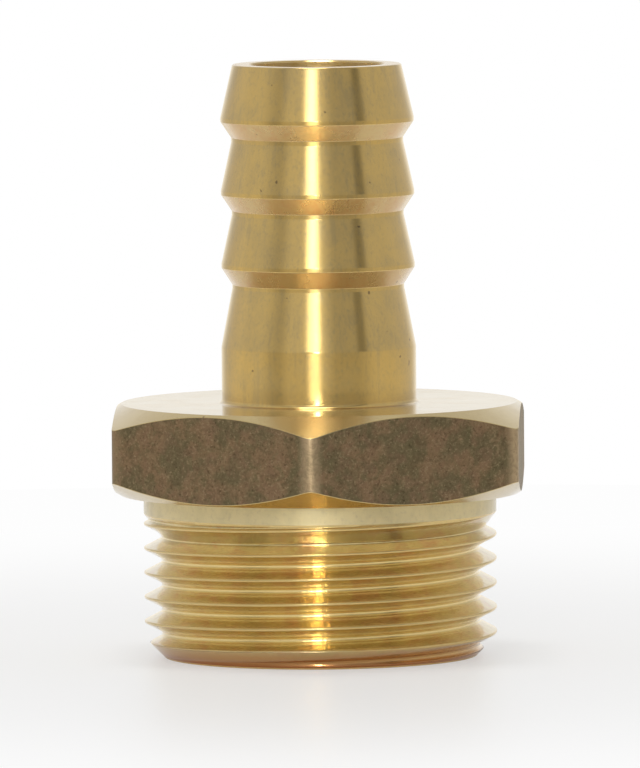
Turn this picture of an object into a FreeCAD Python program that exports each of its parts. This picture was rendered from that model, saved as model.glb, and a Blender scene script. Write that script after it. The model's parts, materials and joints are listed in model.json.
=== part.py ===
import FreeCAD, Part
import math
import os

# Hose barb tail, turned from brass hexagon bar: a male pipe thread at the bottom,
# a spanner hexagon above it and a barbed hose stem on top, bored right through.
# Lengths are in millimetres and angles in degrees. The origin is the centre of the
# thread's end face, and +Z runs up the axis to the tip of the stem.

# Male pipe thread: parallel, right-hand, Whitworth form
thread_diameter = 26.2
thread_pitch = 25.4 / 14
thread_flank_angle = 27.5
thread_full_length = 9.0
thread_runout_length = 1.7
thread_start_angle = 192.5
end_chamfer = 1.5
collar_length = 1.45

# Flat crest of the Whitworth form, as a share of the pitch
crest_in_pitches = 1 / 6

# Hexagon for a 30 mm spanner, chamfered at both ends
hexagon_width = 30.0
hexagon_height = 6.73
hexagon_corner_rounding = 1.0
hexagon_chamfer_angle = 30.0
hexagon_face_diameter = 29.4

# Hose stem, from the hexagon up to the tip: each barb has a steep back towards the
# hexagon and a long slope towards the tip
shank_diameter = 14.44
shank_length = 4.14
shank_taper_length = 4.38
barb_count = 3
barb_crest_diameter = 14.4
barb_root_diameter = 12.69
barb_root_land = 0.5
barb_back_length = 1.2
barb_front_length = 3.72
nose_length = 4.06

# Way through: a bore in the stem and a wider bore in the thread, with a flat shoulder
bore_diameter = 10.0
wide_bore_diameter = 19.5
wide_bore_depth = 11.5

# Radii and heights that follow from the sizes above
thread_radius = thread_diameter / 2
flank_slope = math.tan(math.radians(thread_flank_angle))
crest_width = crest_in_pitches * thread_pitch
groove_width = thread_pitch - crest_width
groove_depth = groove_width / 2 / flank_slope
runout_end = thread_full_length + thread_runout_length
hexagon_bottom = runout_end + collar_length
hexagon_middle = hexagon_bottom + hexagon_height / 2
hexagon_top = hexagon_bottom + hexagon_height
hexagon_corner_radius = hexagon_width / math.sqrt(3)
shank_radius = shank_diameter / 2
crest_radius = barb_crest_diameter / 2
barb_root_radius = barb_root_diameter / 2
first_root_height = hexagon_top + shank_length + shank_taper_length
barb_pitch = barb_root_land + barb_back_length + barb_front_length
tip_height = first_root_height + barb_count * barb_pitch - barb_front_length + nose_length
barb_slope = (crest_radius - barb_root_radius) / barb_front_length
tip_radius = crest_radius - nose_length * barb_slope


def section_point(radius, height):
    """A point of a section that is drawn beside the axis."""
    return FreeCAD.Vector(radius, 0, height)


def turned(corners):
    """A solid of revolution from the (radius, height) corners of its section."""
    points = [section_point(radius, height) for radius, height in corners]
    face = Part.Face(Part.makePolygon(points + points[:1]))
    return face.revolve(FreeCAD.Vector(0, 0, 0), FreeCAD.Vector(0, 0, 1), 360)


def hose_stem():
    """The barbed stem, with its foot inside the hexagon."""
    corners = [
        (0, hexagon_middle),
        (shank_radius, hexagon_middle),
        (shank_radius, hexagon_top + shank_length),
    ]
    for barb in range(barb_count):
        root_start = first_root_height + barb * barb_pitch
        root_end = root_start + barb_root_land
        corners.append((barb_root_radius, root_start))
        corners.append((barb_root_radius, root_end))
        corners.append((crest_radius, root_end + barb_back_length))
    corners.append((tip_radius, tip_height))
    corners.append((0, tip_height))
    return turned(corners)


def hexagon_prism():
    """The hexagon bar, with one corner towards -Y and its corners a little rounded."""
    points = []
    for index in range(6):
        angle = math.radians(60 * index - 90)
        across = hexagon_corner_radius * math.cos(angle)
        along = hexagon_corner_radius * math.sin(angle)
        points.append(FreeCAD.Vector(across, along, hexagon_bottom))
    face = Part.Face(Part.makePolygon(points + points[:1]))
    prism = face.extrude(FreeCAD.Vector(0, 0, hexagon_height))
    upright = [edge for edge in prism.Edges if edge.BoundBox.ZLength > hexagon_height / 2]
    return prism.makeFillet(hexagon_corner_rounding, upright)


def hexagon():
    """The spanner hexagon, with a cone turned off each end."""
    face_radius = hexagon_face_diameter / 2
    drop = (hexagon_corner_radius - face_radius) * math.tan(math.radians(hexagon_chamfer_angle))
    cones = turned([
        (0, hexagon_bottom),
        (face_radius, hexagon_bottom),
        (hexagon_corner_radius, hexagon_bottom + drop),
        (hexagon_corner_radius, hexagon_top - drop),
        (face_radius, hexagon_top),
        (0, hexagon_top),
    ])
    return hexagon_prism().common(cones)


def groove_section():
    """The groove's section where it starts: a V that opens outwards past the crests."""
    beyond = crest_width / 4
    outer_half_width = groove_width / 2 + beyond
    outer_radius = thread_radius + beyond / flank_slope
    lower = section_point(outer_radius, -outer_half_width)
    point = section_point(thread_radius - groove_depth, 0)
    upper = section_point(outer_radius, outer_half_width)
    return Part.makePolygon([lower, point, upper, lower])


def runout_cone():
    """The cone on which the groove gets shallower, as where the cutting tool was drawn out."""
    slope = groove_depth / thread_runout_length
    height = 2 * thread_runout_length + 2 * thread_pitch
    start_radius = thread_radius - 2 * groove_depth
    start = FreeCAD.Vector(0, 0, thread_full_length - thread_runout_length)
    return Part.makeCone(start_radius, start_radius + height * slope, height, start)


def thread_groove():
    """The helical groove, from below the end face up to where it runs out."""
    start = FreeCAD.Vector(0, 0, -thread_pitch)
    helix = Part.makeHelix(thread_pitch, runout_end + 2 * thread_pitch, thread_radius)
    helix.translate(start)
    section = groove_section()
    section.translate(start)
    groove = Part.Wire(helix).makePipeShell([section], True, True)
    groove.rotate(FreeCAD.Vector(0, 0, 0), FreeCAD.Vector(0, 0, 1), thread_start_angle)
    return groove.cut(runout_cone())


def threaded_end():
    """The male thread and its plain collar, up into the hexagon, with a bevel at its start."""
    blank = Part.makeCylinder(thread_radius, hexagon_middle)
    bevel = turned([
        (thread_radius - end_chamfer, 0),
        (thread_radius - 2 * end_chamfer, -end_chamfer),
        (thread_radius + end_chamfer, -end_chamfer),
        (thread_radius + end_chamfer, 2 * end_chamfer),
    ])
    return blank.cut(thread_groove()).cut(bevel)


def hose_barb_tail():
    body = hexagon().fuse(hose_stem()).fuse(threaded_end())
    bore = Part.makeCylinder(bore_diameter / 2, tip_height)
    wide_bore = Part.makeCylinder(wide_bore_diameter / 2, wide_bore_depth)
    return body.cut(bore).cut(wide_bore)


os.makedirs("parts", exist_ok=True)
hose_barb_tail().exportStep("parts/hose_barb_tail.step")
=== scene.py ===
import bmesh
import bpy
import json
import math
from mathutils import Matrix, Vector


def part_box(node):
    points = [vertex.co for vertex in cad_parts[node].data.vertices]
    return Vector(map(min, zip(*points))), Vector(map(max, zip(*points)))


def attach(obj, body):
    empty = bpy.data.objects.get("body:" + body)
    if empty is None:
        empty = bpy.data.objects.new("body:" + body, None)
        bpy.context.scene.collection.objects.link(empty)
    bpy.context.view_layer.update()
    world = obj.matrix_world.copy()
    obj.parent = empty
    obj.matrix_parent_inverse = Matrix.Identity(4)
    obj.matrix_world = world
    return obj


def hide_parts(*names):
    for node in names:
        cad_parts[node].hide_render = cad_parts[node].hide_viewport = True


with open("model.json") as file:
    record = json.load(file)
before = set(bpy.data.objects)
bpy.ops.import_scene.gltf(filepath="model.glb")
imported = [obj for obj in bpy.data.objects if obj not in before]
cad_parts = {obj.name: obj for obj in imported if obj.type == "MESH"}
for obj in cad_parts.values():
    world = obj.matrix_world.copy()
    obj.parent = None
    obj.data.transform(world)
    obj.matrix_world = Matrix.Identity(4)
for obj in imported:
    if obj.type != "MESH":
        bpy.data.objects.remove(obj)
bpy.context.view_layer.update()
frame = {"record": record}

# The fitting's outline is worked out in millimetres and becomes metres in its mesh.
# Its angles run round the axis from the +X side, and the camera stands on the -Y side.
MM = 0.001
NODE = "hose_barb_tail"
mounts = {mount["name"]: mount for mount in frame["record"]["mounts"]}


def mount_radius(name):
    return mounts[name]["dims"]["r_mm"]


def mount_length(name):
    return mounts[name]["dims"]["length_mm"]


def mount_height(name):
    return mounts[name]["pos_m"][2] / MM


# Sizes read from the frame
high_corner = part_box(NODE)[1]
tip_height = high_corner.z / MM
flat_radius = high_corner.x / MM
hexagon_bottom = mount_height("sealing_shoulder")
hexagon_top = mount_height("hose_stop")
shank_radius = mount_radius("hose_stem")
shank_length = mount_length("hose_stem")
thread_radius = mount_radius("pipe_thread")
bore_radius = mount_radius("stem_bore")
wide_bore_radius = mount_radius("thread_bore")
wide_bore_depth = mount_length("thread_bore")

# Hose stem, seen from the tip down
barb_count = 3
barb_pitch = 5.42
nose_length = 3.94
tip_radius = 6.26
crest_radius = 7.17
crest_land = 0.3
barb_back_length = 1.19
lowest_back_length = 1.24
barb_root_radius = 6.375
barb_root_land = 0.33

# Edges and corners that the turning tools rounded or broke
rim_rounding = 0.15
crest_rounding = 0.12
root_rounding = 0.1
shank_rounding = 0.6
shank_foot_rounding = 0.3
shoulder_rounding = 0.3
bore_mouth_chamfer = 0.12
wide_mouth_chamfer = 0.4
fine_rounding = 0.06

# Hexagon
sides = 6
sector = math.radians(360 / sides)
face_radius = 14.7
lower_face_radius = 14.85
chamfer_angle = math.radians(30)
corner_rounding = 1.0
edge_rounding = 0.06

# Parallel pipe thread of Whitworth form, right-hand
whitworth_rounding_share = 0.137329
pitch = 25.4 / 14
flank_angle = math.radians(27.5)
thread_crest_rounding = 0.13
thread_root_rounding = whitworth_rounding_share * pitch
full_thread_end = 9.0
runout_end = 10.7
end_bevel = 1.5

# Height of a crest on the +X side
crest_start = -0.063

# Reach over which the run-out and the bevel blend into the thread
blend_reach = 0.15

# Where the outlines and the thread's rows join: in the stem's bore, on the hexagon's top
# face, on the collar and at the foot of the bevel
bore_join_height = tip_height - 4
face_join_radius = face_radius - 1
collar_join_height = hexagon_bottom - 2 * fine_rounding
bevel_join_height = 0.12

# Fineness of the mesh, with lengths in millimetres
arc_steps = 4
sector_columns = 38
corner_columns = 3
corner_margin = math.radians(0.3)
crest_steps = 8
flank_steps = 4
spare_turns = 2
weld_distance = 0.0005
sliver_length = 0.0002

# Small steps over which the surface's direction is measured, and its layer in the mesh
TINY_ANGLE = math.radians(0.01)
TINY_HEIGHT = 0.002
NORMALS = "turned_normal"

# Kinds of surface, each with a brass of its own
ZONES = ["stem", "dull", "faced", "chamfer", "flat", "thread", "inside"]

# How far a face's zone reaches into the rounding beside it, as a share of its radius
zone_reach_share = 1 / 9


def outline(corners):
    """Points and directions along (radius, height, rounding) corners, with arcs at rounded ones."""
    steps = []
    for index, (radius, height, rounding) in enumerate(corners):
        corner = Vector((radius, height))
        if rounding == 0:
            start = Vector(corners[max(index - 1, 0)][:2])
            end = Vector(corners[min(index + 1, len(corners) - 1)][:2])
            steps.append((corner, (end - start).normalized()))
            continue
        before = (Vector(corners[index - 1][:2]) - corner).normalized()
        after = (Vector(corners[index + 1][:2]) - corner).normalized()
        half_angle = before.angle(after) / 2
        reach = rounding / math.tan(half_angle)
        centre = corner + (before + after).normalized() * (rounding / math.sin(half_angle))
        start = corner + before * reach - centre
        turn = start.angle_signed(corner + after * reach - centre)
        for step in range(arc_steps + 1):
            rotation = Matrix.Rotation(-turn * step / arc_steps, 2)
            steps.append((centre + rotation @ start, rotation @ -before))
    return steps


def column_angles():
    """Angles of the mesh's columns, closer together where the hexagon's corners are rounded."""
    corner_radius = flat_radius / math.cos(sector / 2)
    spread = corner_rounding * math.tan(sector / 2) / corner_radius
    first = spread + corner_margin
    gap = (sector - 2 * first) / (sector_columns - 1)
    angles = []
    for side in range(sides):
        corner = side * sector - math.pi / 2
        for step in range(-corner_columns, corner_columns + 1):
            angles.append(corner + spread * step / corner_columns)
        for step in range(sector_columns):
            angles.append(corner + first + gap * step)
    return angles


def hexagon_radius(angle):
    """Distance from the axis to the hexagon bar's side, whose corners are rounded."""
    off_flat = abs((angle + math.pi / 2) % sector - sector / 2)
    from_corner = sector / 2 - off_flat
    centre = (flat_radius - corner_rounding) / math.cos(sector / 2)
    across = centre * math.sin(from_corner)
    if across >= corner_rounding * math.sin(sector / 2):
        return flat_radius / math.cos(off_flat)
    return centre * math.cos(from_corner) + math.sqrt(corner_rounding ** 2 - across ** 2)


def stem_corners(angle):
    """The stem from its bore over the rim and the barbs to the hexagon, the same at each angle."""
    corners = [
        (bore_radius, bore_join_height, 0),
        (bore_radius, tip_height - bore_mouth_chamfer, fine_rounding),
        (bore_radius + bore_mouth_chamfer, tip_height, fine_rounding),
        (tip_radius, tip_height, rim_rounding),
    ]
    crest_top = tip_height - nose_length
    for barb in range(barb_count):
        lowest = barb == barb_count - 1
        crest_bottom = crest_top - crest_land
        root_top = crest_bottom - (lowest_back_length if lowest else barb_back_length)
        root_bottom = crest_bottom - barb_back_length - barb_root_land
        corners.append((crest_radius, crest_top, crest_rounding))
        corners.append((crest_radius, crest_bottom, crest_rounding))
        corners.append((barb_root_radius, root_top, root_rounding))
        corners.append((barb_root_radius, root_bottom, root_rounding))
        crest_top -= barb_pitch
    corners.append((shank_radius, hexagon_top + shank_length, shank_rounding))
    corners.append((shank_radius, hexagon_top, shank_foot_rounding))
    corners.append((face_join_radius, hexagon_top, 0))
    return corners


def hexagon_corners(angle):
    """The hexagon from its top face round to the collar, at one angle."""
    side = hexagon_radius(angle)
    upper_drop = (side - face_radius) * math.tan(chamfer_angle)
    lower_rise = (side - lower_face_radius) * math.tan(chamfer_angle)
    return [
        (face_join_radius, hexagon_top, 0),
        (face_radius, hexagon_top, edge_rounding),
        (side, hexagon_top - upper_drop, edge_rounding),
        (side, hexagon_bottom + lower_rise, edge_rounding),
        (lower_face_radius, hexagon_bottom, edge_rounding),
        (thread_radius, hexagon_bottom, fine_rounding),
        (thread_radius, collar_join_height, 0),
    ]


def inside_corners(angle):
    """The bevel's foot, the end face, the wide bore, its shoulder and the stem's bore."""
    return [
        (thread_form(bevel_join_height, angle), bevel_join_height, 0),
        (thread_radius - end_bevel, 0, fine_rounding),
        (wide_bore_radius + wide_mouth_chamfer, 0, fine_rounding),
        (wide_bore_radius, wide_mouth_chamfer, fine_rounding),
        (wide_bore_radius, wide_bore_depth, shoulder_rounding),
        (bore_radius, wide_bore_depth, fine_rounding),
        (bore_radius, bore_join_height, 0),
    ]


def zone_reach(rounding):
    """How far a face's zone reaches into the rounding beside it."""
    return rounding * zone_reach_share


def stem_zone(radius, height):
    """The zone of a place on the stem's outline: the rim and the barbs' backs are dull."""
    if radius < bore_radius + bore_mouth_chamfer / 2:
        return "inside"
    if height < hexagon_top + zone_reach(shank_foot_rounding):
        return "faced"
    if height > tip_height - zone_reach(fine_rounding):
        return "dull"
    below_nose = tip_height - nose_length - height
    below_land = below_nose % barb_pitch - crest_land
    if 0 < below_nose < barb_count * barb_pitch and 0 < below_land < lowest_back_length:
        return "dull"
    return "stem"


def hexagon_zone(radius, height):
    """The zone of a place on the hexagon's outline, whose side is one long step."""
    if radius < thread_radius + zone_reach(fine_rounding):
        return "thread"
    if height > hexagon_top - zone_reach(edge_rounding):
        return "faced"
    if height < hexagon_bottom + zone_reach(edge_rounding):
        return "faced"
    if abs(height - (hexagon_top + hexagon_bottom) / 2) < edge_rounding:
        return "flat"
    return "chamfer"


def inside_zone(radius, height):
    """The zone of a place on the inner outline: the end face, or the bores and the shoulder."""
    return "faced" if height < zone_reach(fine_rounding) else "inside"


def thread_phases():
    """Heights of the mesh's helical rows within one pitch, from one crest to the next."""
    steepest = math.pi / 2 - flank_angle
    crest_half = thread_crest_rounding * math.sin(steepest)
    root_half = thread_root_rounding * math.sin(steepest)
    flank = pitch / 2 - crest_half - root_half
    phases = []
    for middle, half in ((0, crest_half), (pitch / 2, root_half)):
        for step in range(crest_steps):
            turned = steepest * (2 * step / crest_steps - 1)
            phases.append(middle + half * math.sin(turned) / math.sin(steepest))
        for step in range(flank_steps):
            phases.append(middle + half + flank * step / flank_steps)
    return phases


def smooth_largest(first, second, reach):
    """The larger of two values, with the change from one to the other rounded off."""
    closeness = max(0, 1 - abs(first - second) / reach)
    return max(first, second) + closeness ** 2 * reach / 4


def smooth_smallest(first, second, reach):
    """The smaller of two values, with the change from one to the other rounded off."""
    return -smooth_largest(-first, -second, reach)


def arc_drop(rounding):
    """How far a rounded crest or root has bent away where it meets the straight flank."""
    return rounding * (1 - math.sin(flank_angle))


def thread_depth():
    """Depth from crest to root, with its flanks straight between the two roundings."""
    both_roundings = thread_crest_rounding + thread_root_rounding
    flank = pitch / 2 - both_roundings * math.cos(flank_angle)
    return flank / math.tan(flank_angle) + arc_drop(both_roundings)


def thread_section(phase):
    """Distance from the axis to the full thread, by the height above or below a crest."""
    from_root = pitch / 2 - phase
    crest, root = thread_crest_rounding, thread_root_rounding
    if phase <= crest * math.cos(flank_angle):
        return thread_radius - crest + math.sqrt(crest ** 2 - phase ** 2)
    if from_root <= root * math.cos(flank_angle):
        return thread_radius - thread_depth() + root - math.sqrt(root ** 2 - from_root ** 2)
    down_flank = phase - crest * math.cos(flank_angle)
    return thread_radius - arc_drop(crest) - down_flank / math.tan(flank_angle)


def thread_form(height, angle):
    """Distance from the axis to the thread's surface, with its run-out and end bevel."""
    helix = height - crest_start - pitch * angle / (2 * math.pi)
    full = thread_section(abs((helix + pitch / 2) % pitch - pitch / 2))
    rising = (height - full_thread_end) / (runout_end - full_thread_end)
    runout = thread_radius - thread_depth() * (1 - min(1, rising))
    bevel = thread_radius - end_bevel + height
    radius = smooth_smallest(smooth_largest(full, runout, blend_reach), bevel, blend_reach)
    return min(radius, thread_radius)


def place(angle, radius, height):
    """A point in metres from its angle, and from its radius and height in millimetres."""
    return Vector((radius * math.cos(angle), radius * math.sin(angle), height)) * MM


def add_vertex(mesh, point, normal):
    """Adds a vertex that keeps the true surface's direction."""
    vertex = mesh.verts.new(point)
    vertex[mesh.verts.layers.float_vector[NORMALS]] = normal.normalized()
    return vertex


def add_face(mesh, vertices, zone):
    face = mesh.faces.new(vertices)
    face.material_index = ZONES.index(zone)
    face.smooth = True


def turned_column(mesh, angle, corners_at):
    """Adds the vertices of an outline at one angle."""
    behind = outline(corners_at(angle - TINY_ANGLE))
    ahead = outline(corners_at(angle + TINY_ANGLE))
    vertices = []
    for index, (point, direction) in enumerate(outline(corners_at(angle))):
        along = place(angle, *direction)
        start = place(angle - TINY_ANGLE, *behind[index][0])
        end = place(angle + TINY_ANGLE, *ahead[index][0])
        vertices.append(add_vertex(mesh, place(angle, *point), along.cross(end - start)))
    return vertices


def add_turned(mesh, angles, corners_at, zone_at):
    """Adds the surface of an outline that may change with the angle."""
    columns = [turned_column(mesh, angle, corners_at) for angle in angles]
    points = [point for point, direction in outline(corners_at(angles[0]))]
    for row in range(len(points) - 1):
        zone = zone_at(*(points[row] + points[row + 1]) / 2)
        for index, column in enumerate(columns):
            after = columns[(index + 1) % len(columns)]
            add_face(mesh, (column[row + 1], after[row + 1], after[row], column[row]), zone)


def thread_vertex(mesh, angle, height):
    """Adds a vertex on the thread's surface."""
    radius = thread_form(height, angle)
    rise = thread_form(height + TINY_HEIGHT, angle) - thread_form(height - TINY_HEIGHT, angle)
    sweep = thread_form(height, angle + TINY_ANGLE) - thread_form(height, angle - TINY_ANGLE)
    outward = Vector((math.cos(angle), math.sin(angle), -rise / (2 * TINY_HEIGHT)))
    sideways = Vector((-math.sin(angle), math.cos(angle), 0)) * sweep / (2 * TINY_ANGLE * radius)
    return add_vertex(mesh, place(angle, radius, height), outward - sideways)


def add_thread(mesh, angles, bottom, top):
    """Adds the thread in rows that follow its helix, from the bevel up to the collar."""
    phases = thread_phases()
    starts = []
    for turn in range(-spare_turns, int(top / pitch) + spare_turns):
        starts += [crest_start + turn * pitch + phase for phase in phases]
    rows = []
    for start in reversed(starts):
        row = []
        for angle in angles:
            height = start + pitch * angle / (2 * math.pi)
            row.append(thread_vertex(mesh, angle, min(top, max(bottom, height))))
        rows.append(row)
    for upper, lower in zip(rows, rows[1:]):
        for index in range(len(angles) - 1):
            add_face(mesh, (lower[index], lower[index + 1], upper[index + 1], upper[index]), "thread")
    join_thread_rows(mesh, rows, len(phases))


def join_thread_rows(mesh, rows, rows_in_pitch):
    """Joins the end of each row to the start of the one that is a pitch above it."""
    for index in range(rows_in_pitch, len(rows) - 1):
        upper, lower = rows[index - rows_in_pitch], rows[index + 1 - rows_in_pitch]
        add_face(mesh, (rows[index + 1][-1], lower[0], upper[0], rows[index][-1]), "thread")


def fitting_mesh():
    """The whole fitting as one closed mesh with the true surface's directions."""
    mesh = bmesh.new()
    mesh.verts.layers.float_vector.new(NORMALS)
    angles = column_angles()
    add_turned(mesh, angles, stem_corners, stem_zone)
    add_turned(mesh, angles, hexagon_corners, hexagon_zone)
    add_thread(mesh, angles, bevel_join_height, collar_join_height)
    add_turned(mesh, angles, inside_corners, inside_zone)
    bmesh.ops.remove_doubles(mesh, verts=mesh.verts, dist=weld_distance * MM)
    bmesh.ops.dissolve_degenerate(mesh, edges=mesh.edges, dist=sliver_length * MM)
    normals = [vertex[mesh.verts.layers.float_vector[NORMALS]].copy() for vertex in mesh.verts]
    mesh.verts.layers.float_vector.remove(mesh.verts.layers.float_vector[NORMALS])
    data = bpy.data.meshes.new("hose_barb_fitting")
    mesh.to_mesh(data)
    mesh.free()
    data.normals_split_custom_set_from_vertices(normals)
    return data


def feed(tree, value, socket):
    """Sets a socket, or links it when the value comes out of another node."""
    if isinstance(value, bpy.types.NodeSocket):
        tree.links.new(value, socket)
    else:
        socket.default_value = value


def calculate(tree, operation, *values):
    node = tree.nodes.new("ShaderNodeMath")
    node.operation = operation
    for value, socket in zip(values, node.inputs):
        feed(tree, value, socket)
    return node.outputs["Value"]


def add(tree, first, second):
    return calculate(tree, "ADD", first, second)


def multiply(tree, first, second):
    return calculate(tree, "MULTIPLY", first, second)


def ease(tree, value, start, end, low=0, high=1):
    """Goes smoothly from low to high while the value goes from start to end."""
    node = tree.nodes.new("ShaderNodeMapRange")
    node.interpolation_type = "SMOOTHSTEP"
    feed(tree, value, node.inputs["Value"])
    feed(tree, start, node.inputs["From Min"])
    feed(tree, end, node.inputs["From Max"])
    feed(tree, low, node.inputs["To Min"])
    feed(tree, high, node.inputs["To Max"])
    return node.outputs["Result"]


def blend(tree, share, first, second):
    """Mixes two colours by a share from 0 to 1."""
    node = tree.nodes.new("ShaderNodeMix")
    node.data_type = "RGBA"
    sockets = {socket.identifier: socket for socket in node.inputs}
    feed(tree, share, sockets["Factor_Float"])
    feed(tree, first, sockets["A_Color"])
    feed(tree, second, sockets["B_Color"])
    return next(socket for socket in node.outputs if socket.identifier == "Result_Color")


def tinted(tree, colour, tint, pattern, start, end, share):
    """Brings a tint in, up to a share of it, while a pattern goes from start to end."""
    return blend(tree, ease(tree, pattern, start, end, 0, share), colour, tint)


def surface_position(tree, across=1, along=1):
    """The surface's own position in millimetres, scaled across the axis and along it."""
    position = tree.nodes.new("ShaderNodeTexCoord")
    mapping = tree.nodes.new("ShaderNodeMapping")
    feed(tree, position.outputs["Object"], mapping.inputs["Vector"])
    feed(tree, (across / MM, across / MM, along / MM), mapping.inputs["Scale"])
    return mapping.outputs["Vector"]


def noise(tree, position, scale, detail, roughness=0.5, distortion=0):
    node = tree.nodes.new("ShaderNodeTexNoise")
    feed(tree, position, node.inputs["Vector"])
    feed(tree, scale, node.inputs["Scale"])
    feed(tree, detail, node.inputs["Detail"])
    feed(tree, roughness, node.inputs["Roughness"])
    feed(tree, distortion, node.inputs["Distortion"])
    return node.outputs["Fac"]


def position_along(tree, axis):
    """The surface's own position along one axis, in millimetres."""
    parts = tree.nodes.new("ShaderNodeSeparateXYZ")
    feed(tree, surface_position(tree), parts.inputs["Vector"])
    return parts.outputs[axis]


def distance_from_axis(tree):
    """How far the surface is from the Z axis, in millimetres."""
    length = tree.nodes.new("ShaderNodeVectorMath")
    length.operation = "LENGTH"
    feed(tree, surface_position(tree, across=1, along=0), length.inputs[0])
    return length.outputs["Value"]


def raised(tree, height, distance):
    """A bump whose depth is given in millimetres."""
    node = tree.nodes.new("ShaderNodeBump")
    feed(tree, height, node.inputs["Height"])
    feed(tree, distance * MM, node.inputs["Distance"])
    return node.outputs["Normal"]


def metal(name):
    """A new metallic material, its node tree and its surface shader."""
    material = bpy.data.materials.new(name)
    material.use_nodes = True
    shader = material.node_tree.nodes["Principled BSDF"]
    shader.inputs["Metallic"].default_value = 1
    return material, material.node_tree, shader


# Thin clear film on the turned brass, which makes it paler where it is seen at a slant
haze_weight = 0.7
haze_roughness = 0.12

# Turn of the anisotropy from the shader's own axis to the turning marks
quarter_turn = 0.25


def add_turned_finish(tree, shader, anisotropy):
    """Gives a shader the haze, and highlights that follow the turning marks round the axis."""
    tangent = tree.nodes.new("ShaderNodeTangent")
    tangent.direction_type = "RADIAL"
    tangent.axis = "Z"
    feed(tree, tangent.outputs["Tangent"], shader.inputs["Tangent"])
    feed(tree, anisotropy, shader.inputs["Anisotropic"])
    feed(tree, quarter_turn, shader.inputs["Anisotropic Rotation"])
    feed(tree, haze_weight, shader.inputs["Coat Weight"])
    feed(tree, haze_roughness, shader.inputs["Coat Roughness"])


# Colours of the turned surfaces
BRASS = (0.79, 0.54, 0.172, 1)
DULL_BRASS = (0.62, 0.45, 0.18, 1)
RED_BRASS = (0.66, 0.4, 0.16, 1)
BACK_BRASS = (0.68, 0.49, 0.21, 1)
# Paler, greyer brass of the faced surfaces: a painted reflection of the white backdrop seen at a slant
FACED_BRASS_PAINTED_SHEEN = (0.68, 0.565, 0.375, 1)
CUT_BRASS = (0.69, 0.53, 0.235, 1)
BORED_BRASS = (0.85, 0.65, 0.32, 1)
PIT = (0.24, 0.15, 0.06, 1)

# Roughness of the smoothest and the roughest patches, as shares of the surface's own
smoothest_share = 0.85
roughest_share = 1.25

# How dull the streaks are, as a share of the patches' dullness
streak_share = 0.9

turned_anisotropy = 0.4


def turned_brass(name, colour, dull_colour, roughness, marks, dullness):
    """Brass with fine turning marks, duller patches, streaks and grain, and small dark pits."""
    material, tree, shader = metal(name)
    position = surface_position(tree)
    patches = noise(tree, position, scale=0.35, detail=4, roughness=0.6)
    grain = noise(tree, surface_position(tree, across=1, along=0.6), scale=4.5, detail=3, roughness=0.7)
    streaks = noise(tree, surface_position(tree, across=1.5, along=0.1), scale=1, detail=4, roughness=0.65)
    rings = noise(tree, surface_position(tree, across=0.05, along=12), scale=1, detail=2, roughness=0.6)
    pits = noise(tree, position, scale=1.7, detail=1)
    dull = ease(tree, patches, start=0.35, end=0.7, high=dullness)
    dull = add(tree, dull, ease(tree, streaks, start=0.5, end=0.72, high=dullness * streak_share))
    dull = add(tree, dull, ease(tree, grain, start=0.48, end=0.72, high=dullness))
    colour = blend(tree, dull, colour, dull_colour)
    colour = tinted(tree, colour, PIT, pits, start=0.24, end=0.2, share=0.8)
    smoothest = roughness * smoothest_share
    roughest = roughness * roughest_share
    rough = ease(tree, patches, start=0.3, end=0.75, low=smoothest, high=roughest)
    feed(tree, colour, shader.inputs["Base Color"])
    feed(tree, rough, shader.inputs["Roughness"])
    feed(tree, raised(tree, rings, marks), shader.inputs["Normal"])
    add_turned_finish(tree, shader, turned_anisotropy)
    return material


# Colours of the drawn flats
OLIVE_BROWN = (0.185, 0.145, 0.078, 1)
RED_BROWN = (0.275, 0.18, 0.1, 1)
RUST = (0.27, 0.165, 0.1, 1)
OLIVE = (0.16, 0.14, 0.07, 1)
DARK_BLOTCH = (0.11, 0.085, 0.045, 1)
PALE_BLOTCH = (0.36, 0.265, 0.145, 1)
PALE_GRAIN = (0.44, 0.33, 0.19, 1)
DARK_GRAIN = (0.05, 0.035, 0.02, 1)
DARK_SPECK = (0.04, 0.028, 0.015, 1)
# Pale corners: partly wear, partly a painted highlight
WORN_CORNER_AND_HIGHLIGHT = (0.5, 0.37, 0.22, 1)

# Wear of the hexagon's corners, with a painted highlight on them. It sets in between two distances from the
# axis, and grows from left to right between two places on the X axis, from these shares of itself.
worn_start = 16.75
worn_end = 17.17
left_wear_start = -14
left_wear_end = -8
left_wear_share = 0.3
least_wear_share = 0.4

drawn_roughness = 0.44
worn_roughness = 0.36
drawn_relief = 0.02


def corner_wear_and_highlight(tree, blotches):
    """How worn the hexagon's corners are, with their painted highlight: unevenly, and less on the left."""
    wear_and_highlight = ease(tree, distance_from_axis(tree), worn_start, worn_end)
    unevenness = ease(tree, blotches, start=0.35, end=0.6, low=least_wear_share)
    side = ease(tree, position_along(tree, "X"), left_wear_start, left_wear_end, low=left_wear_share)
    return multiply(tree, multiply(tree, wear_and_highlight, unevenness), side)


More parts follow.
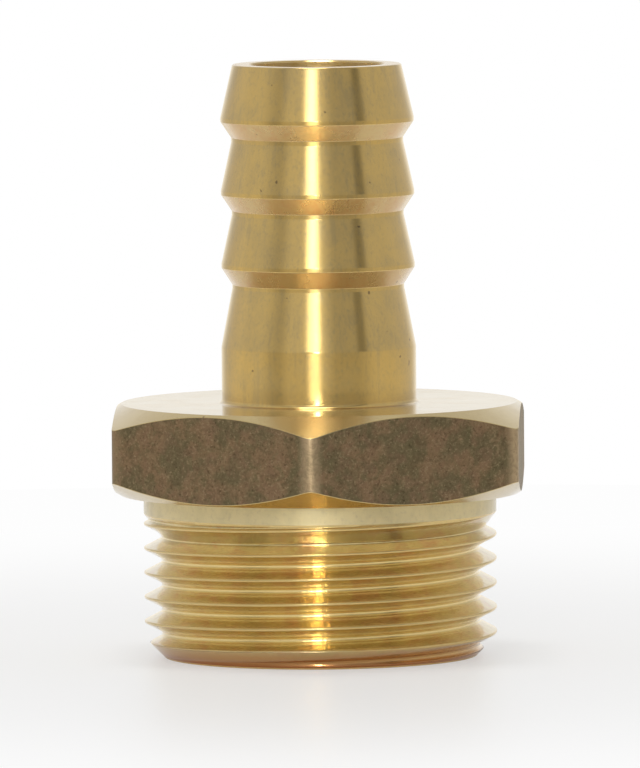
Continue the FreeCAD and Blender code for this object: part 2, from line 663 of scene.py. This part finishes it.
def drawn_brass(name):
    """The bar's own drawn surface on the flats: dark, matt and mottled, with corners paler from wear and a
    painted highlight.
    """
    material, tree, shader = metal(name)
    position = surface_position(tree)
    broad = noise(tree, position, scale=0.42, detail=4, roughness=0.6, distortion=0.4)
    tints = noise(tree, position, scale=0.8, detail=5, roughness=0.6, distortion=0.8)
    blotches = noise(tree, position, scale=1.5, detail=5, roughness=0.75, distortion=1.2)
    grain = noise(tree, position, scale=5, detail=4, roughness=0.8)
    specks = noise(tree, position, scale=3.6, detail=2)
    colour = tinted(tree, OLIVE_BROWN, RED_BROWN, broad, start=0.42, end=0.6, share=1)
    colour = tinted(tree, colour, RUST, tints, start=0.5, end=0.62, share=0.5)
    colour = tinted(tree, colour, OLIVE, tints, start=0.48, end=0.36, share=0.5)
    colour = tinted(tree, colour, DARK_BLOTCH, blotches, start=0.5, end=0.64, share=0.45)
    colour = tinted(tree, colour, PALE_BLOTCH, blotches, start=0.46, end=0.32, share=0.6)
    colour = tinted(tree, colour, PALE_GRAIN, grain, start=0.53, end=0.68, share=0.7)
    colour = tinted(tree, colour, DARK_GRAIN, grain, start=0.43, end=0.3, share=0.75)
    colour = tinted(tree, colour, DARK_SPECK, specks, start=0.36, end=0.3, share=0.45)
    wear_and_highlight = corner_wear_and_highlight(tree, blotches)
    # Corners paler from wear and a painted highlight
    feed(tree, blend(tree, wear_and_highlight, colour, WORN_CORNER_AND_HIGHLIGHT), shader.inputs["Base Color"])
    feed(tree, ease(tree, wear_and_highlight, 0, 1, drawn_roughness, worn_roughness), shader.inputs["Roughness"])
    feed(tree, raised(tree, grain, drawn_relief), shader.inputs["Normal"])
    return material


# Colours of the thread and its collar
THREAD_BRASS = (0.78, 0.635, 0.32, 1)
DEEPER_THREAD = (0.68, 0.55, 0.255, 1)
COPPER_TINT = (0.72, 0.48, 0.27, 1)
OLIVE_GRAIN = (0.5, 0.42, 0.2, 1)
# Painted shade that dims the crests' reflections
CREST_PAINTED_SHADE = (0.78, 0.57, 0.22, 1)
# Painted highlight in the roots
ROOT_PAINTED_HIGHLIGHT = (0.9, 0.69, 0.29, 1)
# Painted shade, redder and darker, on the first turn and the bevel, which mirror the shaded floor below
# them
FIRST_TURN_SHADE = (0.66, 0.39, 0.14, 1)
BEVEL_SHADE = (0.46, 0.15, 0.04, 1)
# The collar's pale colours are a painted reflection of the white floor that it mirrors
PAINTED_COLLAR_REFLECTION = (1, 0.87, 0.52, 1)
DEEPER_COLLAR_REFLECTION = (0.92, 0.8, 0.47, 1)
COLLAR_GRAIN = (0.7, 0.58, 0.34, 1)

# How far from the crests, the roots and the run-out's end the colour changes, and the heights where the
# first turn and the bevel get redder and darker. The crests' darker tone and the redder first turn and
# bevel are painted shade, and the roots' brighter tone is a painted highlight.
crest_tint_reach = 0.14
crest_tint_full = 0.04
crest_tint_share = 0.85
root_tint_reach = 0.12
root_tint_full = 0.03
collar_start = 0.02
collar_full = 0.1
first_turn_shade_top = 1.7
first_turn_shade_full = 0.7
bevel_shade_top = 0.75
bevel_shade_full = 0.1

# Roughness of the thread's smoothest and roughest patches, of its crests and of the collar
thread_smoothest = 0.16
thread_roughest = 0.2
crest_roughness = 0.27
collar_roughness = 0.62

thread_anisotropy = 0.8
grain_relief_share = 0.4
thread_relief = 0.024


def collar_painted_reflection(tree):
    """The plain collar's brass, painted pale with a painted reflection of the white floor, with faint
    patches and grain.
    """
    patches = noise(tree, surface_position(tree, across=1, along=0.7), scale=0.8, detail=4, roughness=0.6)
    grain = noise(tree, surface_position(tree), scale=3, detail=3, roughness=0.6)
    colour = tinted(tree, PAINTED_COLLAR_REFLECTION, DEEPER_COLLAR_REFLECTION, patches, start=0.35, end=0.7, share=1)
    return tinted(tree, colour, COLLAR_GRAIN, grain, start=0.5, end=0.75, share=0.3)


def thread_colour(tree, patches, grain, crest):
    """The thread's brass: mottled, with a painted highlight in the roots, painted shade on the crests, and
    redder, darker painted shade towards its first turn and bevel.
    """
    tint_position = surface_position(tree, across=1, along=1.6)
    tints = noise(tree, tint_position, scale=0.55, detail=4, roughness=0.6, distortion=0.5)
    colour = tinted(tree, THREAD_BRASS, DEEPER_THREAD, patches, start=0.4, end=0.7, share=0.7)
    colour = tinted(tree, colour, COPPER_TINT, tints, start=0.5, end=0.62, share=0.65)
    colour = tinted(tree, colour, RED_BRASS, grain, start=0.5, end=0.68, share=0.5)
    colour = tinted(tree, colour, OLIVE_GRAIN, grain, start=0.45, end=0.28, share=0.55)
    # Painted shade on the crests
    colour = blend(tree, multiply(tree, crest, crest_tint_share), colour, CREST_PAINTED_SHADE)
    # Painted highlight in the roots
    from_root = calculate(tree, "SUBTRACT", distance_from_axis(tree), thread_radius - thread_depth())
    colour = tinted(tree, colour, ROOT_PAINTED_HIGHLIGHT, from_root, root_tint_reach, root_tint_full, share=1)
    height = position_along(tree, "Z")
    # Painted shade, redder and darker, towards the first turn and the bevel
    colour = tinted(tree, colour, FIRST_TURN_SHADE, height, first_turn_shade_top, first_turn_shade_full, share=0.9)
    return tinted(tree, colour, BEVEL_SHADE, height, bevel_shade_top, bevel_shade_full, share=0.85)


def thread_brass(name):
    """The thread's turned brass, and above the run-out the collar's matt one, painted pale with a painted
    reflection of the white floor.
    """
    material, tree, shader = metal(name)
    position = surface_position(tree)
    patches = noise(tree, position, scale=0.5, detail=4, roughness=0.6)
    grain = noise(tree, position, scale=4, detail=3, roughness=0.6)
    waves = noise(tree, position, scale=0.9, detail=2)
    below_crest = calculate(tree, "SUBTRACT", thread_radius, distance_from_axis(tree))
    crest = ease(tree, below_crest, crest_tint_reach, crest_tint_full)
    above_runout = calculate(tree, "SUBTRACT", position_along(tree, "Z"), runout_end)
    collar = ease(tree, above_runout, collar_start, collar_full)
    colour = blend(tree, collar, thread_colour(tree, patches, grain, crest), collar_painted_reflection(tree))
    rough = ease(tree, patches, start=0.3, end=0.7, low=thread_smoothest, high=thread_roughest)
    rough = ease(tree, crest, 0, 1, rough, crest_roughness)
    relief = add(tree, multiply(tree, grain, grain_relief_share), waves)
    feed(tree, colour, shader.inputs["Base Color"])
    feed(tree, ease(tree, collar, 0, 1, rough, collar_roughness), shader.inputs["Roughness"])
    feed(tree, raised(tree, relief, thread_relief), shader.inputs["Normal"])
    add_turned_finish(tree, shader, thread_anisotropy)
    return material


def brass_materials():
    """One material for each zone of the fitting, in the order of ZONES."""
    return [
        turned_brass("brass_turned_stem", BRASS, DULL_BRASS, roughness=0.17, marks=0.001, dullness=0.6),
        turned_brass("brass_dull_turned", BACK_BRASS, RED_BRASS, roughness=0.28, marks=0.002, dullness=0.6),
        # The faced surfaces' paler brass is a painted reflection
        turned_brass("brass_faced_top", FACED_BRASS_PAINTED_SHEEN, BRASS, roughness=0.18, marks=0.002, dullness=0.3),
        turned_brass("brass_chamfered", CUT_BRASS, DULL_BRASS, roughness=0.2, marks=0.002, dullness=0.4),
        drawn_brass("brass_drawn_flats"),
        thread_brass("brass_thread"),
        turned_brass("brass_bored", BORED_BRASS, BRASS, roughness=0.48, marks=0.003, dullness=0.5),
    ]


# Room light. Bearings are in degrees from the camera's side, with the right side at 90,
# the left side at -90 and the backdrop at 180. Elevations are in degrees too.
room_strength = 0.42
side_wall_start = 95
side_wall_full = 128
side_wall_strength = 0.55
backdrop_start = 140
backdrop_full = 172
backdrop_strength = 0.88

# Faint glows on the left, the right and the front wall
left_glow_strength = 0.19
right_glow_strength = 0.12
front_glow_strength = 0.2

# Parts of the walls where the light is only a share of itself, or a little more than it
rear_gap_share = 0.8
front_gap_share = 0.5
upper_wall_share = 0.68
low_front_share = 0.88
low_side_share = 1.1

# Soft strip in front, with an upper and a lower part, and a thin bright tube within it
upper_strip_strength = 3.6
lower_strip_strength = 2.3
tube_strength = 34

# Lamps overhead, by direction and by half of their angle in degrees
overhead_direction = (-0.04, -0.06, 1)
overhead_half_angle = 10
overhead_strength = 7
small_lamp_direction = (-0.15, 0.07, 1)
small_lamp_half_angle = 5
small_lamp_strength = 2.2
lamp_softness = 3

WHITE = (1, 1, 1, 1)
TABLE_TINT = (1, 0.95, 0.82, 1)


def round_lamp(tree, direction, towards, half_angle, strength):
    """A round, soft-edged lamp in one direction of the room."""
    aligned = tree.nodes.new("ShaderNodeVectorMath")
    aligned.operation = "DOT_PRODUCT"
    feed(tree, direction, aligned.inputs[0])
    feed(tree, Vector(towards).normalized(), aligned.inputs[1])
    off_centre = calculate(tree, "DEGREES", calculate(tree, "ARCCOSINE", aligned.outputs["Value"]))
    return ease(tree, off_centre, half_angle + lamp_softness, half_angle - lamp_softness, 0, strength)


def band(tree, angle, centre, half_width, softness):
    """How far an angle lies inside a band: 0 outside it and 1 in its middle."""
    off_centre = calculate(tree, "ABSOLUTE", calculate(tree, "SUBTRACT", angle, centre))
    return ease(tree, off_centre, half_width + softness, half_width - softness)


def dimmed(tree, light, where, share):
    """A light that changes to a share of itself where a value goes from 0 to 1."""
    return multiply(tree, light, ease(tree, where, 0, 1, 1, share))


def wall_light(tree, bearing, aside, elevation):
    """The walls: brighter towards the backdrop, with faint glows and with darker gaps."""
    light = ease(tree, aside, side_wall_start, side_wall_full, room_strength, side_wall_strength)
    light = ease(tree, aside, backdrop_start, backdrop_full, light, backdrop_strength)
    left_glow = band(tree, bearing, centre=-88, half_width=28, softness=16)
    right_glow = band(tree, bearing, centre=88, half_width=26, softness=16)
    front_glow = band(tree, bearing, centre=-12, half_width=28, softness=8)
    light = add(tree, light, multiply(tree, left_glow, left_glow_strength))
    light = add(tree, light, multiply(tree, right_glow, right_glow_strength))
    light = add(tree, light, multiply(tree, front_glow, front_glow_strength))
    rear_gap = band(tree, bearing, centre=148, half_width=14, softness=10)
    rear_gap = multiply(tree, rear_gap, ease(tree, elevation, start=10, end=20))
    light = dimmed(tree, light, rear_gap, rear_gap_share)
    front_gap = band(tree, bearing, centre=57, half_width=6, softness=4)
    front_gap = multiply(tree, front_gap, ease(tree, elevation, start=4, end=16))
    light = dimmed(tree, light, front_gap, front_gap_share)
    upper_wall = ease(tree, elevation, start=57, end=64)
    upper_wall = multiply(tree, upper_wall, ease(tree, aside, start=90, end=150))
    return dimmed(tree, light, upper_wall, upper_wall_share)


def strip_light(tree, bearing, elevation):
    """The soft strip in front, in two parts, and the tube that makes the thin highlight."""
    upper = multiply(
        tree,
        band(tree, bearing, centre=-5, half_width=6, softness=5),
        band(tree, elevation, centre=25, half_width=8, softness=2.5),
    )
    lower = multiply(
        tree,
        band(tree, bearing, centre=-3, half_width=6, softness=4),
        band(tree, elevation, centre=-4, half_width=4, softness=3),
    )
    tube = multiply(
        tree,
        band(tree, bearing, centre=0.6, half_width=1.7, softness=1),
        band(tree, elevation, centre=9, half_width=4, softness=3),
    )
    light = multiply(tree, upper, upper_strip_strength)
    light = add(tree, light, multiply(tree, lower, lower_strip_strength))
    return add(tree, light, multiply(tree, tube, tube_strength))


def room_light(tree):
    """The studio's brightness and tint in each direction, as the polished metal mirrors it."""
    direction = tree.nodes.new("ShaderNodeTexCoord").outputs["Generated"]
    parts = tree.nodes.new("ShaderNodeSeparateXYZ")
    feed(tree, direction, parts.inputs["Vector"])
    towards_camera = multiply(tree, parts.outputs["Y"], -1)
    bearing = calculate(tree, "DEGREES", calculate(tree, "ARCTAN2", parts.outputs["X"], towards_camera))
    elevation = calculate(tree, "DEGREES", calculate(tree, "ARCSINE", parts.outputs["Z"]))
    aside = calculate(tree, "ABSOLUTE", bearing)
    light = wall_light(tree, bearing, aside, elevation)
    light = add(tree, light, strip_light(tree, bearing, elevation))
    overhead = round_lamp(tree, direction, overhead_direction, overhead_half_angle, overhead_strength)
    small_lamp = round_lamp(
        tree, direction, small_lamp_direction, small_lamp_half_angle, small_lamp_strength
    )
    light = add(tree, add(tree, light, overhead), small_lamp)
    low = ease(tree, elevation, start=12, end=-3)
    low_share = ease(tree, aside, start=45, end=80, low=low_front_share, high=low_side_share)
    return dimmed(tree, light, low, low_share), blend(tree, low, WHITE, TABLE_TINT)


def studio_world():
    """The room as the metal and the floor see it, and a white backdrop for the camera."""
    world = bpy.data.worlds.new("studio")
    world.use_nodes = True
    tree = world.node_tree
    room = tree.nodes["Background"]
    light, tint = room_light(tree)
    feed(tree, light, room.inputs["Strength"])
    feed(tree, tint, room.inputs["Color"])
    white = tree.nodes.new("ShaderNodeBackground")
    feed(tree, WHITE, white.inputs["Color"])
    seen = tree.nodes.new("ShaderNodeLightPath").outputs["Is Camera Ray"]
    mix = tree.nodes.new("ShaderNodeMixShader")
    feed(tree, seen, mix.inputs[0])
    feed(tree, room.outputs["Background"], mix.inputs[1])
    feed(tree, white.outputs["Background"], mix.inputs[2])
    feed(tree, mix.outputs["Shader"], tree.nodes["World Output"].inputs["Surface"])
    return world


# Floor, in metres, a hair below the fitting's end face
floor_radius = 0.158
floor_gap = 0.00002
floor_segments = 180
floor_colour = (0.93, 0.93, 0.93, 1)
floor_roughness = 0.34
floor_specular = 0.8

# Glow that turns the floor white with the distance from the fitting, in millimetres, and
# its shares beside the fitting, as the camera and as the metal's mirror images see it
glow_start = 30
glow_full = 115
near_glow = 0.48
mirrored_glow = 0.12
floor_glow_colour = (0.985, 0.985, 0.985, 1)


def floor_material():
    """Pale and faintly glossy, and white where it meets the backdrop."""
    material = bpy.data.materials.new("pale_floor")
    material.use_nodes = True
    tree = material.node_tree
    shader = tree.nodes["Principled BSDF"]
    shader.inputs["Base Color"].default_value = floor_colour
    shader.inputs["Roughness"].default_value = floor_roughness
    shader.inputs["Specular IOR Level"].default_value = floor_specular
    path = tree.nodes.new("ShaderNodeLightPath")
    camera_ray = path.outputs["Is Camera Ray"]
    glossy_ray = path.outputs["Is Glossy Ray"]
    near = add(tree, multiply(tree, camera_ray, near_glow), multiply(tree, glossy_ray, mirrored_glow))
    glow = ease(tree, distance_from_axis(tree), glow_start, glow_full, near, 1)
    seen = calculate(tree, "MAXIMUM", camera_ray, glossy_ray)
    white = tree.nodes.new("ShaderNodeEmission")
    feed(tree, floor_glow_colour, white.inputs["Color"])
    mix = tree.nodes.new("ShaderNodeMixShader")
    feed(tree, multiply(tree, seen, glow), mix.inputs[0])
    feed(tree, shader.outputs["BSDF"], mix.inputs[1])
    feed(tree, white.outputs["Emission"], mix.inputs[2])
    feed(tree, mix.outputs["Shader"], tree.nodes["Material Output"].inputs["Surface"])
    return material


def floor_object():
    """The pale round table, which ends short of the white backdrop."""
    mesh = bmesh.new()
    bmesh.ops.create_circle(mesh, cap_ends=True, segments=floor_segments, radius=floor_radius)
    data = bpy.data.meshes.new("floor")
    mesh.to_mesh(data)
    mesh.free()
    data.materials.append(floor_material())
    floor = bpy.data.objects.new("floor", data)
    floor.location.z = -floor_gap
    return floor


# Camera, in metres and radians, with the photograph's scale and height in pixels. Its
# sensor is in millimetres and spans that height.
camera_distance = 1.0
camera_height = 0.093
camera_bearing = math.radians(2.3)
camera_roll = -0.0078
camera_aim = Vector((0.00007, 0, 0.0202))
camera_sensor = 36
pixels_per_metre = 13473
image_height = 768


def photo_camera():
    """The camera at the photograph's angle, whose lens gives the photograph's scale."""
    data = bpy.data.cameras.new("camera")
    camera = bpy.data.objects.new("camera", data)
    camera.location = (
        camera_distance * math.sin(camera_bearing),
        -camera_distance * math.cos(camera_bearing),
        camera_height,
    )
    towards = camera_aim - camera.location
    data.sensor_width = camera_sensor
    data.lens = pixels_per_metre * towards.length * camera_sensor / image_height
    turn = towards.to_track_quat("-Z", "Y").to_matrix() @ Matrix.Rotation(camera_roll, 3, "Z")
    camera.rotation_mode = "QUATERNION"
    camera.rotation_quaternion = turn.to_quaternion()
    return camera


fitting = bpy.data.objects.new("brass_hose_barb_tail", fitting_mesh())
bpy.context.scene.collection.objects.link(fitting)
for material in brass_materials():
    fitting.data.materials.append(material)
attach(fitting, "root")
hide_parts(NODE)

floor = floor_object()
bpy.context.scene.collection.objects.link(floor)

camera = photo_camera()
bpy.context.scene.collection.objects.link(camera)
bpy.context.scene.camera = camera
bpy.context.scene.world = studio_world()
bpy.context.scene.view_settings.view_transform = "Standard"
